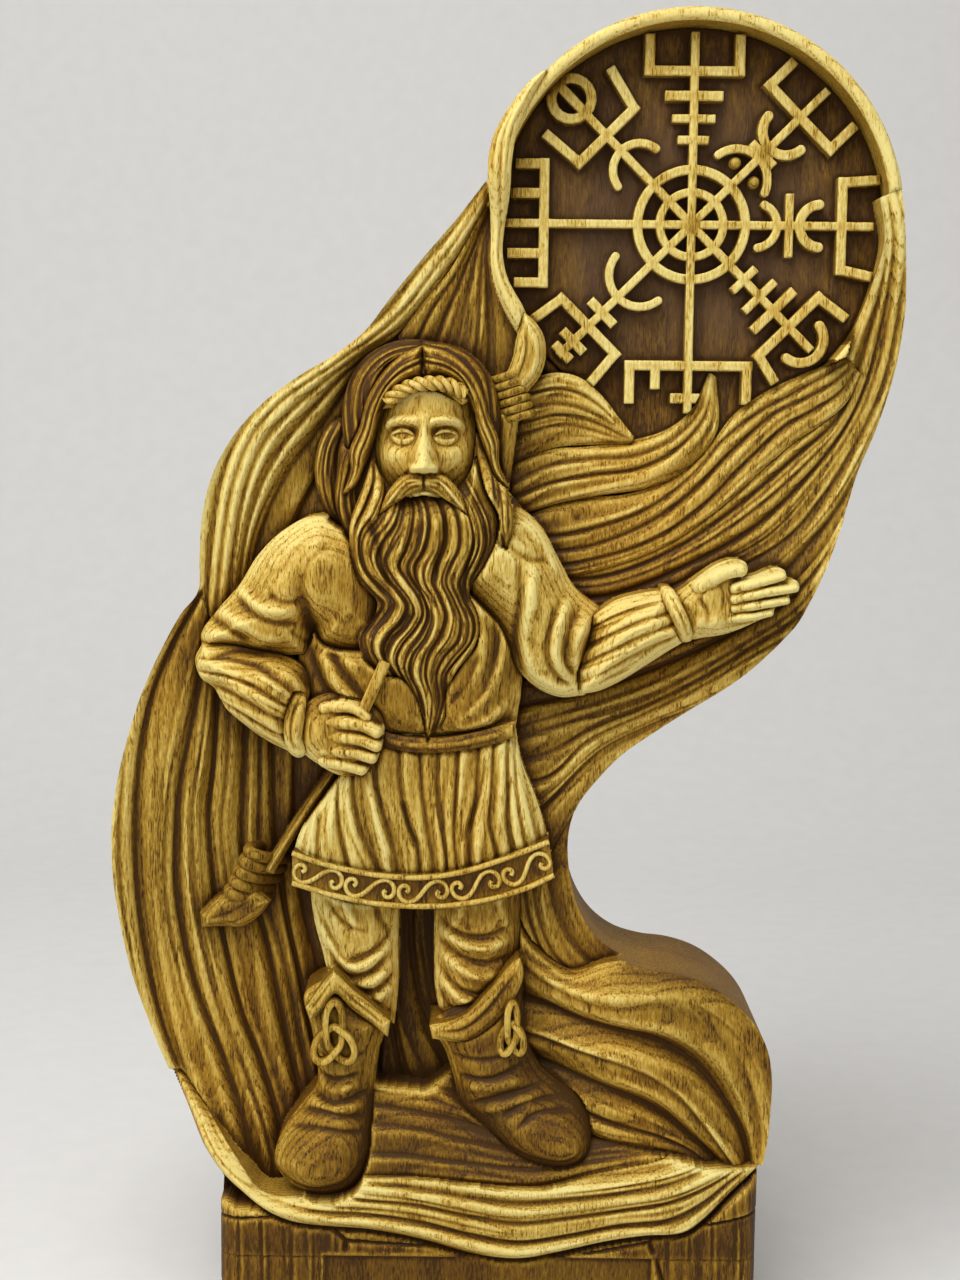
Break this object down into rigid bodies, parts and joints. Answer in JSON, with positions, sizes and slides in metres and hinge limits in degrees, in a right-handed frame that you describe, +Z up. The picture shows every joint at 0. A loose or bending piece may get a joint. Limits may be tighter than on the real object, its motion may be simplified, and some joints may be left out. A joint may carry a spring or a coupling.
{
  "type": "carved relief figurine",
  "caption": "Carved ash relief figurine of a bearded dwarf in a sweeping cloak below a round compass shield, standing on a plain plinth.",
  "frame": {"origin": "centre of the plinth's underside", "axes": "+Z up through the shield, the carved front looks along -Y, the flat back looks along +Y, +X is the viewer's right"},
  "size_m": [0.2167, 0.0519, 0.371],
  "materials": {
    "wood_pale": "sanded ash, oiled, satin",
    "wood_honey": "ash with a warm stain rubbed back, oiled, satin",
    "wood_brown": "ash with brown stain left in the carving, oiled, satin",
    "wood_dark": "ash with dark stain in the deep recesses, matt",
    "wood_grey": "ash with grey-brown stain, matt"
  },
  "bodies": {
    "root": {"plinth": "wood_honey", "back_board": "wood_brown", "ledge": "wood_honey", "ground_folds": "wood_brown", "cloak_between_legs": "wood_brown", "cloak_left_upper": "wood_pale", "cloak_left_lower": "wood_honey", "hood_folds": "wood_honey", "cloak_lip": "wood_pale", "cloak_sweep_outer": "wood_pale", "cloak_sweep_upper": "wood_pale", "cloak_flame": "wood_honey", "cloak_wave": "wood_honey", "cloak_tail": "wood_pale", "cloak_waist": "wood_honey", "cloak_shoulder": "wood_honey", "torso": "wood_honey", "trouser_left": "wood_pale", "trouser_right": "wood_pale", "skirt": "wood_pale", "hem_band": "wood_honey", "belt": "wood_brown", "boot_left": "wood_honey", "boot_right": "wood_honey", "boot_cuff_left": "wood_pale", "boot_cuff_right": "wood_pale", "sleeve_left": "wood_pale", "forearm_left": "wood_pale", "sleeve_right": "wood_pale", "forearm_right": "wood_pale", "bow_shaft": "wood_brown", "hand_left": "wood_pale", "cuff_left": "wood_pale", "hand_right": "wood_pale", "cuff_right": "wood_pale", "bow_horn": "wood_pale", "bow_limb_upper": "wood_honey", "bow_binding_upper": "wood_brown", "bow_limb_lower": "wood_honey", "bow_tip_lower": "wood_honey", "bow_binding_lower": "wood_brown", "hair_back": "wood_dark", "hair_left": "wood_honey", "hair_right": "wood_honey", "hair_top": "wood_honey", "beard": "wood_brown", "head": "wood_pale", "headband": "wood_pale", "moustache": "wood_honey", "knot_left": "wood_pale", "knot_right": "wood_pale", "shield_field": "wood_grey", "shield_rim": "wood_pale", "compass_stave": "wood_honey", "compass_dot_upper": "wood_honey", "compass_dot_lower": "wood_honey"}
  },
  "joints": []
}
